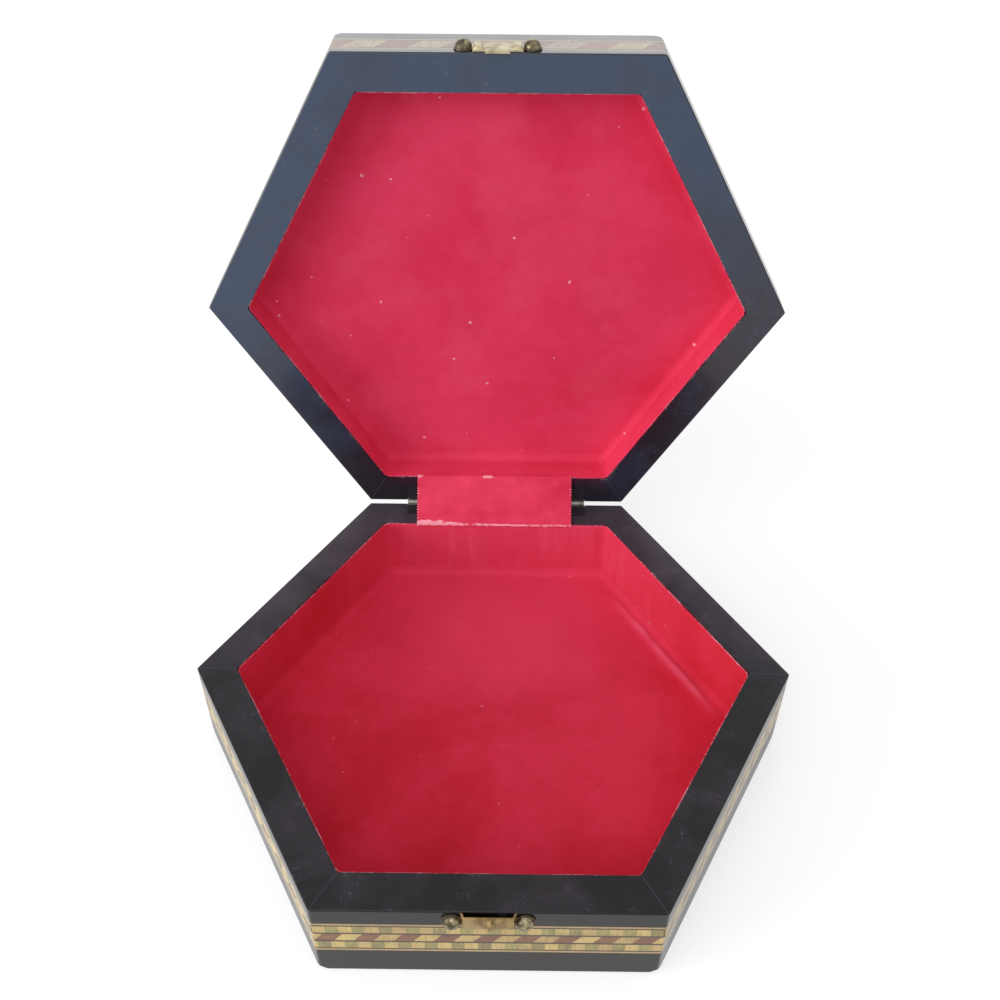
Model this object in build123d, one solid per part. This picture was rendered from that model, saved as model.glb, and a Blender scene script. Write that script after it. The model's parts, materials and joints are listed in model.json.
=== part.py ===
from build123d import *
from math import acos, atan2, cos, degrees, pi, radians, sin, tan
import os

# A small hexagonal wooden box with a marquetry band, shown open.
# It is two shallow six-sided trays, the base and the lid, joined by a hinge at the back.
# Sizes are in millimetres. X runs to the right along the hinge, Y runs to the back,
# Z runs up, and the origin is the centre of the base's underside.

# Hexagonal trays
side_length = 90.0  # outside length of one of the six sides
base_height = 31.0
lid_height = 17.0
wall = 10.5  # thickness of the wall boards
base_panel = 6.6  # thickness of the bottom panel
lid_panel = 5.0  # thickness of the lid's top panel
rabbet = 5.5  # how far the panels are let into the walls
corner_round = 1.2  # upright corners
base_edge_round = 1.2  # outer edge of the underside
lid_edge_round = 1.4  # outer edge of the lid's top
rim_round = 0.5  # outer edge of each rim
worn_corner = 1.7  # taken off each corner of the box's underside and top
worn_height = 2.6  # how far up the upright corner that wear reaches
rim_gap = 0.6  # between the rims when the box is closed
glue_line = 0.02  # between two pieces that meet in a mitre

# Marquetry woods
veneer = 1.2  # depth of the inlay
stringing = 0.75  # height of a light line
dark_line = 0.6
joint_line = 0.7  # dark line beside the rope row of the base
block_height = 3.05
block_length = 3.45
rope_height = 3.15
rope_piece = 5.1  # length of one rope piece along the band
rope_lean = 2.2  # how far the top of a rope piece stands beside its foot
rope_offset = 4.8  # middle of a light rope piece, from the middle of a side
lid_rope_height = 5.6  # the lid has one bolder rope and no blocks
lid_rope_piece = 9.0
lid_rope_lean = 3.9
upper_block_offset = 1.6  # middle of a light block, from the left corner
lower_block_offset = 6.1
base_band_margin = 6.5  # plain wood from the base's rim to its band
lid_band_margin = 2.7  # plain wood from the lid's rim to its band
top_band_margin = 7.5  # plain wood from the lid's edge to the band on its top
star_reach = 46.0  # middle of the lid's top to a point of the star
star_waist = 22.0  # middle of the lid's top to a notch between two points
least_piece = 0.4  # volume of the smallest piece worth laying, in cubic millimetres

# Cloth lining
wall_cloth = 0.8
panel_cloth = 1.0
cloth_below_rim = 0.3
strip_width = 55.5  # the strip over the hinge
strip_thickness = 0.5

# Hinge
open_angle = 90.0  # the cloth strip stops the lid upright
hinge_length = 63.0
knuckles = 3
knuckle_gap = 0.3
barrel_radius = 1.3
barrel_clearance = 0.15  # round the knuckles, in the wood and in the other leaf
hinge_pin_radius = 0.6
hinge_fit = 0.05  # round the pin in its knuckles
hinge_out = 0.4  # from the back walls' outer face to the hinge axis
leaf_reach = 6.5  # from the hinge axis to the leaf's inner edge
leaf_thickness = 0.8
leaf_gap = 0.3  # between the two leaves when the box is closed
nails = 3  # in each leaf
nail_spacing = 22.0
nail_radius = 0.5
nail_head_radius = 1.0
nail_sides = 8  # the nails are too small to need a true circle
nail_head_depth = 0.5
nail_length = 6.0
nail_hole_clearance = 0.02

# Clasp
clasp_sheet = 0.5  # thickness of the brass sheet
ear_margin = 0.4  # of each round ear, round its tack's head
tack_drop = 3.6  # from the rim to the tacks
tack_head_radius = 2.3
tack_head_height = 2.1
tack_head_gap = 0.08  # from a tack's head to the keeper's bridge
tack_dome_sides = 16
tack_dome_rings = 3  # rings of flats between the dome's foot and its top
tack_shank_width = 1.1
tack_hole_clearance = 0.02
tack_length = 7.0
keeper_width = 14.0  # the raised bridge of the keeper
keeper_height = 5.6
keeper_out = 1.65  # from the wall to the front of the bridge
keeper_below_rim = 0.2
nub_width = 3.0
nub_length = 4.4
nub_height = 1.4
nub_slope = 30.0  # angle of the nub's sides
nub_aside = 0.6  # the nub stands right of the middle
nub_above_foot = 0.8
plate_inset = 0.2  # the lid's plate is narrower than the keeper, at each side
clasp_plate_height = 5.6
clasp_plate_below_rim = 0.7
boss_out = 1.3  # raised ends of the lid's plate, from the wall
press_slope = 20.0  # angle of the pressed edges
tongue_width = 6.6
tongue_out = 0.35  # from the wall to the tongue
tongue_past_rim = 1.8

# Worked out from the sizes above
flat_share = cos(radians(30))  # a hexagon's middle-to-flat over its middle-to-corner
apothem = side_length * flat_share  # from the middle to the outer face of a wall
inside = apothem - wall
hinge_y = apothem + hinge_out
hinge_z = base_height + rim_gap / 2
room_round_barrel = barrel_radius + barrel_clearance
past = 2 * side_length  # longer than anything that is cut
turn = 360 / 6  # from one side of a tray to the next
clasp_plate_width = keeper_width - 2 * plate_inset
ear_radius = tack_head_radius + ear_margin
bridge_side = keeper_width / 2 - clasp_sheet * tan(radians(press_slope))
tack_aside = bridge_side + tack_head_gap + tack_head_radius  # from the clasp's middle

# Each side is made once, facing the front, and turned about Z to its place.
BASE_SIDES = ("front", "front_right", "back_right", "back", "back_left", "front_left")
# The lid is turned over on the base, so its own front is the back of the box.
LID_SIDES = ("back", "back_right", "front_right", "front", "front_left", "back_left")
CORNER = (Align.MIN, Align.MIN)
STANDING = (Align.CENTER, Align.CENTER, Align.MIN)
HANGING = (Align.CENTER, Align.CENTER, Align.MAX)

# Where things stand
lid_closed = Pos(0, 0, base_height + rim_gap + lid_height) * Rot(180, 0, 0)
hinge_place = Pos(0, hinge_y, hinge_z)
lid_place = hinge_place * Rot(-open_angle, 0, 0) * hinge_place.inverse() * lid_closed


# Trays, with the panel down and the rim up
def hexagon(across, bottom, top, rounding=0.0):
    """Six-sided prism with a flat at the front; across is from the middle to a flat."""
    outline = RegularPolygon(across / flat_share, 6)
    if rounding:
        outline = fillet(outline.vertices(), rounding)
    return Pos(0, 0, bottom) * extrude(outline, top - bottom)


def front_sector():
    """Everything between the mitres of the front side."""
    half = past * tan(radians(30))
    wedge = Polygon((0, 0), (-half, -past), (half, -past))
    return Pos(0, -glue_line, 0) * extrude(wedge, past, both=True)


def worn_corners():
    """A prism that widens upwards, whose flats take the points off a tray's lower corners."""
    slope = degrees(atan2(worn_corner, worn_height))
    outline = RegularPolygon((side_length - worn_corner) / flat_share, 6)
    return Rot(0, 0, 30) * extrude(outline, past, taper=-slope)


def front_board_trim():
    """The space that the front board may fill, with its corners rounded and worn."""
    return front_sector() & hexagon(apothem, -past, past, corner_round) & worn_corners()


def front_band_trim():
    """The same space for the band, with a flat in place of each rounded corner."""
    corner_reach = side_length - corner_round * (1 / flat_share - 1)
    corners = Rot(0, 0, 30) * hexagon(corner_reach, -past, past)
    return front_sector() & hexagon(apothem, -past, past) & corners


def outer_corner(section, row):
    """The outer corner of a wall's section, in its lowest row of points or its highest."""
    return section.vertices().group_by(Axis.Y)[row].sort_by(Axis.X)[0]


def wall_board(height, panel, edge_round, band):
    """One mitred wall board with its rabbet and the groove for its band."""
    section = Rectangle(wall, height, align=CORNER)
    section = fillet(outer_corner(section, 0), edge_round)
    section = fillet(outer_corner(section, -1), rim_round)
    section -= Pos(wall - rabbet, 0) * Rectangle(rabbet, panel, align=CORNER)
    low, high = band
    section -= Pos(0, low) * Rectangle(veneer, high - low, align=CORNER)
    across = Plane(origin=(0, -apothem, 0), x_dir=(0, 1, 0), z_dir=(1, 0, 0))
    board = extrude(across * section, side_length, both=True)
    return (board & front_board_trim()).solid()


def panel_board(thickness):
    return hexagon(inside + rabbet, 0, thickness)


def panel_lining(panel):
    return hexagon(inside, panel, panel + panel_cloth)


def wall_lining(height, panel):
    """The cloth round the inside of the walls, standing on the panel's cloth."""
    low = panel + panel_cloth
    high = height - cloth_below_rim
    return hexagon(inside, low, high) - hexagon(inside - wall_cloth, low, high)


# Marquetry. A band is a list of rows from its foot up: kind, height, and what that kind needs.
EDGE_ROWS = [("line", stringing, "light_stringing"), ("line", dark_line, "dark_lines")]
LID_ROPE_ROW = ("rope", lid_rope_height, (lid_rope_piece, lid_rope_lean, 0.0))
LID_ROWS = EDGE_ROWS + [LID_ROPE_ROW] + EDGE_ROWS[::-1]
ROPE_ROW = ("rope", rope_height, (rope_piece, rope_lean, rope_offset))
LOWER_ROWS = [("blocks", block_height, lower_block_offset), ("line", joint_line, "dark_lines")]
UPPER_ROWS = [("line", joint_line, "dark_lines"), ("blocks", block_height, upper_block_offset)]
BASE_ROWS = EDGE_ROWS + LOWER_ROWS + [ROPE_ROW] + UPPER_ROWS + EDGE_ROWS[::-1]


def band_height(rows):
    return sum(height for kind, height, detail in rows)


def line_row(height, wood):
    """One long strip of one wood."""
    return [(wood, Rectangle(side_length, height))]


def block_row(height, offset):
    """Small upright blocks, light and olive by turns."""
    pieces = []
    for number in range(-2, int(side_length / block_length) + 2):
        wood = "olive_blocks" if number % 2 else "light_blocks"
        middle = offset - side_length / 2 + number * block_length
        pieces.append((wood, Pos(middle, 0) * Rectangle(block_length, height)))
    return pieces


def rope_row(height, shape):
    """Leaning pieces, light and brown by turns, that look like a twisted rope."""
    length, lean, offset = shape
    pieces = []
    top = (length + lean) / 2
    foot = (length - lean) / 2
    half = height / 2
    outline = Polygon((-top, -half), (foot, -half), (top, half), (-foot, half))
    count = int(side_length / 2 / length) + 2
    for number in range(-count, count + 1):
        wood = "brown_rope" if number % 2 else "light_rope"
        pieces.append((wood, Pos(offset + number * length, 0) * outline))
    return pieces


ROW_MAKERS = {"line": line_row, "blocks": block_row, "rope": rope_row}


def lay_band(rows, face, trim):
    """Lay one side's band flush in a face, and sort its pieces by wood."""
    woods = {}
    foot = -band_height(rows) / 2
    for kind, height, detail in rows:
        middle = foot + height / 2
        foot += height
        for wood, outline in ROW_MAKERS[kind](height, detail):
            piece = extrude(face * Pos(0, middle) * outline, -veneer)
            kept = [cut for cut in (piece & trim).solids() if cut.volume > least_piece]
            woods.setdefault(wood, []).extend(kept)
    return woods


def wall_band(rows, foot):
    """The band in the front wall's outer face."""
    middle = foot + band_height(rows) / 2
    face = Plane(origin=(0, -apothem, middle), x_dir=(1, 0, 0), z_dir=(0, -1, 0))
    return lay_band(rows, face, front_band_trim())


def top_band(rows, margin):
    """The front side of a six-sided band in the lid's top, which faces down here."""
    middle = apothem - margin - band_height(rows) / 2
    face = Plane(origin=(0, -middle, 0), x_dir=(1, 0, 0), z_dir=(0, 0, -1))
    return lay_band(rows, face, front_sector())


def top_groove(margin, height):
    """What a six-sided band in the lid's top takes out of the panel."""
    outer = apothem - margin
    return hexagon(outer, 0, veneer) - hexagon(outer - height, 0, veneer)


def round_the_tray(shapes, numbers=range(6)):
    """Copies of one side's pieces, one set for each side."""
    return [Rot(0, 0, number * turn) * shape for number in numbers for shape in shapes]


def star_pieces():
    """A star of six points, each of a light and a brown half, in an olive hexagon."""
    tip = (star_reach, 0)
    next_tip = (star_reach * cos(radians(60)), star_reach * sin(radians(60)))
    notch = (star_waist * cos(radians(30)), star_waist * sin(radians(30)))
    half = extrude(Polygon((0, 0), tip, notch), veneer)
    between = extrude(Polygon(tip, next_tip, notch), veneer)
    return {
        "light_star": round_the_tray([half]),
        "brown_star": round_the_tray([mirror(half, Plane.XZ)]),
        "olive_field": round_the_tray([between]),
    }


# Hinge, with its axis along X through the origin and its leaf towards the front
def bar_along_x(radius, start, end):
    return Pos(start, 0, 0) * Rot(0, 90, 0) * Cylinder(radius, end - start, align=STANDING)


def knuckle_spans(first):
    """Where every second knuckle starts and ends, along the hinge."""
    pitch = (hinge_length + knuckle_gap) / knuckles
    starts = [number * pitch - hinge_length / 2 for number in range(first, knuckles, 2)]
    return [(start, start + pitch - knuckle_gap) for start in starts]


def frustum(wide, narrow, height, sides):
    """A small round piece that narrows upwards, drawn with a few flat sides."""
    slope = degrees(atan2((wide - narrow) * cos(pi / sides), height))
    return extrude(RegularPolygon(wide, sides), height, taper=slope)


def nail(clearance=0.0):
    """A small countersunk nail that hangs from the origin."""
    wide = nail_head_radius + clearance
    narrow = nail_radius + clearance
    shank = extrude(RegularPolygon(narrow, nail_sides), nail_length + clearance)
    return Rot(180, 0, 0) * (frustum(wide, narrow, nail_head_depth, nail_sides) + shank)


def leaf_nails(clearance=0.0):
    """The nails of one leaf, halfway from its knuckles to its inner edge."""
    middle = -(leaf_reach + room_round_barrel) / 2
    spots = [(number - (nails - 1) / 2) * nail_spacing for number in range(nails)]
    return [Pos(spot, middle, -leaf_gap / 2) * nail(clearance) for spot in spots]


def leaf_strip(start, end, reach):
    """Flat sheet from the hinge axis towards the front."""
    sheet = Box(end - start, reach, leaf_thickness, align=(Align.MIN, Align.MAX, Align.MAX))
    return Pos(start, 0, -leaf_gap / 2) * sheet


def hinge_leaf(first):
    """A metal leaf with its knuckles, relieved round the other leaf's knuckles."""
    half = hinge_length / 2
    leaf = leaf_strip(-half, half, leaf_reach) - bar_along_x(room_round_barrel, -half, half)
    for start, end in knuckle_spans(first):
        leaf += leaf_strip(start, end, room_round_barrel)
        leaf += bar_along_x(barrel_radius, start, end)
    leaf -= bar_along_x(hinge_pin_radius + hinge_fit, -half, half)
    for hole in leaf_nails(nail_hole_clearance):
        leaf -= hole
    return leaf.solid()


def hinge_cut():
    """What one half of the hinge takes out of a rim."""
    half = hinge_length / 2
    room = barrel_clearance + half
    cut = Pos(0, 0, -leaf_gap / 2 - leaf_thickness) * Box(
        hinge_length, leaf_reach, past, align=(Align.CENTER, Align.MAX, Align.MIN)
    )
    cut += bar_along_x(room_round_barrel, -room, room)
    for hole in leaf_nails(nail_hole_clearance):
        cut += hole
    return cut


def hinge_on(height):
    """Where the hinge stands on a tray's front side, with its leaf towards the back."""
    return Pos(0, -hinge_y, height + rim_gap / 2) * Rot(0, 0, 180)


# Clasp, on the front side's outer face: X to the right, Y up from the rim, Z out
def clasp_on(height):
    return Plane(origin=(0, -apothem, height), x_dir=(1, 0, 0), z_dir=(0, -1, 0)).location


def at_tacks(shape):
    return [Pos(way * tack_aside, -tack_drop, 0) * shape for way in (-1, 1)]


def dome():
    """The head of a tack, as rings of flats that follow a sphere."""
    sphere = (tack_head_radius**2 + tack_head_height**2) / (2 * tack_head_height)
    steepest = acos(1 - tack_head_height / sphere)
    angles = [steepest * (1 - ring / tack_dome_rings) for ring in range(tack_dome_rings)]
    angles.append(steepest / tack_dome_rings / 3)
    heights = [tack_head_height - sphere * (1 - cos(angle)) for angle in angles]
    rings = []
    for ring in range(tack_dome_rings):
        wide, narrow = [sphere * sin(angle) for angle in angles[ring : ring + 2]]
        rise = heights[ring + 1] - heights[ring]
        rings.append(Pos(0, 0, heights[ring]) * frustum(wide, narrow, rise, tack_dome_sides))
    return Part() + rings


def tack():
    """A dome-headed tack that stands on the clasp's sheet."""
    shank = extrude(Rectangle(tack_shank_width, tack_shank_width), -tack_length)
    return Pos(0, 0, clasp_sheet) * (dome() + shank)


def tack_holes():
    width = tack_shank_width + 2 * tack_hole_clearance
    first, second = at_tacks(Box(width, width, 2 * tack_length))
    return first + second


def clasp_sheet_plate(width, low, high):
    """The flat sheet of a clasp plate: a bar between two round ears."""
    sheet = Pos(0, low) * Rectangle(width, high - low, align=(Align.CENTER, Align.MIN))
    sheet += Pos(0, -tack_drop) * Rectangle(2 * tack_aside, ear_radius)
    for ear in at_tacks(Circle(ear_radius)):
        sheet += ear
    return extrude(sheet, clasp_sheet)


def pressed(width, low, high, out):
    """A part of a clasp plate that is pressed out, with sloping edges."""
    outline = Pos(0, (low + high) / 2) * Rectangle(width, high - low)
    return extrude(outline, out, taper=press_slope)


def nub(foot):
    """A drop-shaped nub on the bridge, to press it with."""
    half = nub_length / 2
    left = ThreePointArc((0, half), (-nub_width / 2, 0), (0, -half))
    outline = make_face(left + mirror(left, Plane.YZ))
    return Pos(nub_aside, foot + half, keeper_out) * extrude(outline, nub_height, taper=nub_slope)


def keeper_plate():
    """The lower half of the clasp: a bridge, open at the top, that takes the tongue."""
    high = -keeper_below_rim
    low = high - keeper_height
    over = high + keeper_height
    plate = clasp_sheet_plate(keeper_width, low, high)
    plate += pressed(keeper_width, low, over, keeper_out)
    plate += nub(low + nub_above_foot)
    pocket_width = keeper_width - 2 * clasp_sheet
    plate -= pressed(pocket_width, low + clasp_sheet, over, keeper_out - clasp_sheet)
    plate -= Pos(0, high, 0) * Box(past, past, past, align=(Align.CENTER, Align.MIN, Align.CENTER))
    return (plate - tack_holes()).solid()


def clasp_plate():
    """The upper half of the clasp, on the lid, with its tongue past the rim."""
    high = -clasp_plate_below_rim
    low = high - clasp_plate_height
    plate = clasp_sheet_plate(clasp_plate_width, low, high)
    boss_width = (clasp_plate_width - tongue_width) / 2 - clasp_sheet
    for way in (-1, 1):
        middle = way * (clasp_plate_width - boss_width) / 2
        plate += Pos(middle, 0, 0) * pressed(boss_width, low, high, boss_out)
    tongue = Rectangle(tongue_width, tongue_past_rim - low, align=(Align.CENTER, Align.MIN))
    plate += Pos(0, low, tongue_out) * extrude(tongue, clasp_sheet)
    return (plate - tack_holes()).solid()


# Cloth strip over the hinge, taut from the base's rim to the lid's
def cloth_strip():
    rim_edge = Vector(0, inside - hinge_y, rim_gap / 2).rotate(Axis.X, -open_angle)
    front = (inside, base_height)
    back = (hinge_y + rim_edge.Y, hinge_z + rim_edge.Z)
    outline = Polygon(
        front,
        back,
        (back[0] - strip_thickness, back[1]),
        (front[0] - strip_thickness, front[1]),
    )
    upright = Plane(origin=(0, 0, 0), x_dir=(0, 1, 0), z_dir=(1, 0, 0))
    return extrude(upright * outline, strip_width / 2, both=True)


def save(name, shapes, place):
    """Write one node, moved to its place."""
    placed = [place * shape for shape in (shapes if isinstance(shapes, list) else [shapes])]
    whole = placed[0] if len(placed) == 1 else Compound(children=placed)
    whole.label = name
    export_step(whole, f"parts/{name}.step")


def save_walls(half, board, height, sides, place):
    """Write the six walls of a tray, with the hinge's and the clasp's cuts."""
    cuts = {"front": clasp_on(height) * tack_holes(), "back": hinge_on(height) * hinge_cut()}
    for number, name in enumerate(sides):
        cut = board - cuts[name] if name in cuts else board
        save(f"{half}_wall_{name}", Rot(0, 0, number * turn) * cut, place)


def save_band(half, woods, height, sides, place):
    """Write the woods of a wall band, with the clasp's holes in the front."""
    holes = clasp_on(height) * tack_holes()
    front = [sides.index("front")]
    others = [number for number, name in enumerate(sides) if name != "front"]
    for wood, pieces in woods.items():
        drilled = [piece - holes for piece in pieces]
        shapes = round_the_tray(drilled, front) + round_the_tray(pieces, others)
        save(f"{half}_band_{wood}", shapes, place)


def make_tray(half, height, panel, edge_round, rows, margin, sides, place):
    """Write the walls, the band and the lining of the base or the lid."""
    foot = height - margin - band_height(rows)
    board = wall_board(height, panel, edge_round, (foot, foot + band_height(rows)))
    save_walls(half, board, height, sides, place)
    save_band(half, wall_band(rows, foot), height, sides, place)
    save(f"{half}_panel_lining", panel_lining(panel), place)
    save(f"{half}_wall_lining", wall_lining(height, panel), place)


def make_lid_top():
    """Write the lid's panel and the marquetry in it."""
    frame_margin = apothem - star_reach * flat_share - band_height(EDGE_ROWS)
    panel = panel_board(lid_panel)
    panel -= top_groove(top_band_margin, band_height(LID_ROWS))
    panel -= hexagon(apothem - frame_margin, 0, veneer)
    save("lid_top_panel", panel, lid_place)
    woods = star_pieces()
    bands = [top_band(LID_ROWS, top_band_margin), top_band(EDGE_ROWS, frame_margin)]
    for band in bands:
        for wood, pieces in band.items():
            woods.setdefault(wood, []).extend(round_the_tray(pieces))
    for wood, pieces in woods.items():
        save(f"lid_top_{wood}", pieces, lid_place)


def make_hinge():
    base_half = Rot(0, 0, 180) * hinge_on(base_height)
    lid_half = lid_place * hinge_on(lid_height)
    save("hinge_base_leaf", hinge_leaf(0), base_half)
    save("hinge_base_nails", leaf_nails(), base_half)
    save("hinge_lid_leaf", hinge_leaf(1), lid_half)
    save("hinge_lid_nails", leaf_nails(), lid_half)
    half = hinge_length / 2
    save("hinge_pin", bar_along_x(hinge_pin_radius, -half, half), base_half)
    save("hinge_cover_cloth", cloth_strip(), Pos())


def make_clasp():
    base_half = clasp_on(base_height)
    lid_half = lid_place * Rot(0, 0, LID_SIDES.index("front") * turn) * clasp_on(lid_height)
    save("clasp_keeper_plate", keeper_plate(), base_half)
    save("clasp_keeper_tacks", at_tacks(tack()), base_half)
    save("clasp_lid_plate", clasp_plate(), lid_half)
    save("clasp_lid_tacks", at_tacks(tack()), lid_half)


os.makedirs("parts", exist_ok=True)
make_tray(
    "base", base_height, base_panel, base_edge_round, BASE_ROWS, base_band_margin, BASE_SIDES, Pos()
)
make_tray(
    "lid", lid_height, lid_panel, lid_edge_round, LID_ROWS, lid_band_margin, LID_SIDES, lid_place
)
save("base_bottom_panel", panel_board(base_panel), Pos())
make_lid_top()
make_hinge()
make_clasp()
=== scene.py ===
# %% [markdown]
# # A hexagonal marquetry trinket box
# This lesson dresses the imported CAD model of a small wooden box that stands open.
# The walls, panels and hinge keep their CAD meshes and get real finishes. The inlaid
# woods, the cloth and the clasp are new pieces that stand for their CAD nodes.
# Every length is in metres, and most come from the CAD nodes' own boxes.

# %% Load the frame
import bpy
import bmesh
import json
import math
import random
from mathutils import Matrix, Vector, noise


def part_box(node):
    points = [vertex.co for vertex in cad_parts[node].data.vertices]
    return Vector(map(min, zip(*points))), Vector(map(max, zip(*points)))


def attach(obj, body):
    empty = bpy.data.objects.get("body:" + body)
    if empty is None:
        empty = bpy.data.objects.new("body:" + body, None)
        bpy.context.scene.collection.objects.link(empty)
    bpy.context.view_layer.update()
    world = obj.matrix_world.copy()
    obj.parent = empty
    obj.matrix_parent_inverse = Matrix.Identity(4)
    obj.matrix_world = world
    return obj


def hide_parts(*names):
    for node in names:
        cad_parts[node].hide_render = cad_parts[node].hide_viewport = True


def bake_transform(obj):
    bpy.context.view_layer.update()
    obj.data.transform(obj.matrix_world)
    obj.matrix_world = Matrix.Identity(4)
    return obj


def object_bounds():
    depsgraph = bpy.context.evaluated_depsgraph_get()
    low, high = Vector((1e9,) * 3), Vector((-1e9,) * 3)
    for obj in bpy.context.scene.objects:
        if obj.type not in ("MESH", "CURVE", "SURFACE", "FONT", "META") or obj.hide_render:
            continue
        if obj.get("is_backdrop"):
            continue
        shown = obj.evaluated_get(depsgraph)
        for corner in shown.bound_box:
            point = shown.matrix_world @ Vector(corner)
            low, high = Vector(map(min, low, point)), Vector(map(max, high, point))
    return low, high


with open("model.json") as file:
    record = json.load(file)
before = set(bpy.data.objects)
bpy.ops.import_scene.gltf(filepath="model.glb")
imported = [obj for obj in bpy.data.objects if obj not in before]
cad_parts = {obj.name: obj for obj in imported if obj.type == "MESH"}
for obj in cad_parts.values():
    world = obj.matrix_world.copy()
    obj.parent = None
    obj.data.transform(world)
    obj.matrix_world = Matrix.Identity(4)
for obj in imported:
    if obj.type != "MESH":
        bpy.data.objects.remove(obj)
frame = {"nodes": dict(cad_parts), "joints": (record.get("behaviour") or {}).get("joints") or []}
cad_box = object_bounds()
nodes = frame["nodes"]
MM = 0.001
print(len(nodes), "CAD nodes, box", [round(side / MM, 1) for side in cad_box[1] - cad_box[0]])

# %% [markdown]
# ## The box's own places
# Both halves are hexagons. The base lies flat round the Z axis, and the lid stands upright
# behind it, so the middle of its hexagon is a point in the XZ plane. Knowing these two
# middles, a material can tell how far a point is from a wall's edge or from a mitre.

# %% Measure the two halves
def span(node, axis):
    """A node's lowest and highest coordinate along one axis."""
    low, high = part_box(node)
    return low[axis], high[axis]

X, Y, Z = 0, 1, 2
THIRTY = math.radians(30)  # half of a hexagon side's angle
rim_height = span("base_wall_front", Z)[1]
outer_apothem = span("base_wall_back", Y)[1]
inner_apothem = span("base_panel_lining", Y)[1]
floor_top = span("base_panel_lining", Z)[1]
lid_low, lid_high = span("lid_wall_back", Z)[0], span("lid_wall_front", Z)[1]
lid_middle = (lid_low + lid_high) / 2
lid_rim = span("lid_wall_front", Y)[0]
ceiling = span("lid_panel_lining", Y)[0]
hinge = Vector(frame["joints"][0]["pos_m"])
print("lid's middle at", round(lid_middle / MM, 2), "mm, rim at y", round(lid_rim / MM, 2), "mm")

# %% [markdown]
# ## Helpers for materials
# Colours are written as sRGB hex, as a paint chart gives them, and turned to the linear
# values that the shader wants. One function adds a node, and everything else is links.

# %% Colours, nodes and links
def colour(code):
    """An sRGB hex colour as linear red, green, blue and alpha."""
    parts = [int(code[at:at + 2], 16) / 255 for at in (1, 3, 5)]
    linear = [part / 12.92 if part <= 0.04045 else ((part + 0.055) / 1.055) ** 2.4
              for part in parts]
    return (*linear, 1.0)

def feed(tree, node, inputs):
    """Give each named input of a node a value or a link."""
    for name, value in inputs.items():
        if isinstance(value, bpy.types.NodeSocket):
            tree.links.new(value, node.inputs[name])
        else:
            node.inputs[name].default_value = value

def add(tree, kind, inputs=None, **settings):
    """Add a node, set its properties, and feed its inputs."""
    node = tree.nodes.new(kind)
    for name, value in settings.items():
        setattr(node, name, value)
    feed(tree, node, inputs or {})
    return node

def new_material(name):
    """An empty material with its tree, its surface shader and its coordinates."""
    material = bpy.data.materials.new(name)
    material.use_nodes = True
    tree = material.node_tree
    shader = tree.nodes["Principled BSDF"]
    place = add(tree, "ShaderNodeTexCoord").outputs["Object"]
    return material, tree, shader, place

# %% The nodes that every material uses
def maths(tree, operation, *values):
    """One operation on up to three numbers or sockets."""
    return add(tree, "ShaderNodeMath", dict(enumerate(values)), operation=operation).outputs[0]

def times(tree, first, second):
    """Two numbers or sockets multiplied."""
    return maths(tree, "MULTIPLY", first, second)

def vector_maths(tree, operation, *values):
    """One operation on vectors. A length or a distance comes out as a number."""
    node = add(tree, "ShaderNodeVectorMath", dict(enumerate(values)), operation=operation)
    return node.outputs["Value" if operation in ("LENGTH", "DISTANCE") else "Vector"]

def axes_of(tree, place):
    """The three coordinates of a vector, as the outputs X, Y and Z."""
    return add(tree, "ShaderNodeSeparateXYZ", {0: place}).outputs

def attribute(tree, name):
    """A number that the mesh itself carries. It is 0 where the mesh has none."""
    return add(tree, "ShaderNodeAttribute", attribute_name=name).outputs["Fac"]

def noise_level(tree, place, spacing, detail, rough=0.5, warp=0.0, output="Fac"):
    """A noise whose patches lie about this far apart."""
    inputs = {"Vector": place, "Scale": 1 / spacing, "Detail": detail, "Roughness": rough,
              "Distortion": warp}
    return add(tree, "ShaderNodeTexNoise", inputs).outputs[output]

def level_between(tree, value, low, high, to_low=0.0, to_high=1.0, **settings):
    """A value turned to a level between two others, and held there beyond its ends."""
    inputs = {"Value": value, "From Min": low, "From Max": high, "To Min": to_low,
              "To Max": to_high}
    return add(tree, "ShaderNodeMapRange", inputs, **settings).outputs[0]

def ramp(tree, factor, *stops):
    """A colour ramp from (position, hex colour) stops."""
    node = add(tree, "ShaderNodeValToRGB", {"Fac": factor})
    elements = node.color_ramp.elements
    while len(elements) < len(stops):
        elements.new(0.5)
    for element, (position, code) in zip(elements, stops):
        element.position = position
        element.color = colour(code)
    return node.outputs["Color"]

def mixed(tree, level, under, over):
    """One colour over another, where the level is 1. Over is a socket or a hex colour."""
    over = colour(over) if isinstance(over, str) else over
    inputs = {"Factor": level, "A": under, "B": over}
    return add(tree, "ShaderNodeMix", inputs, data_type="RGBA").outputs["Result"]

def relief(tree, height, strength, distance, **under):
    """The normal of a surface with this relief. Under may name the normal it starts from."""
    inputs = {"Height": height, "Strength": strength, "Distance": distance, **under}
    return add(tree, "ShaderNodeBump", inputs).outputs[0]
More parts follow.
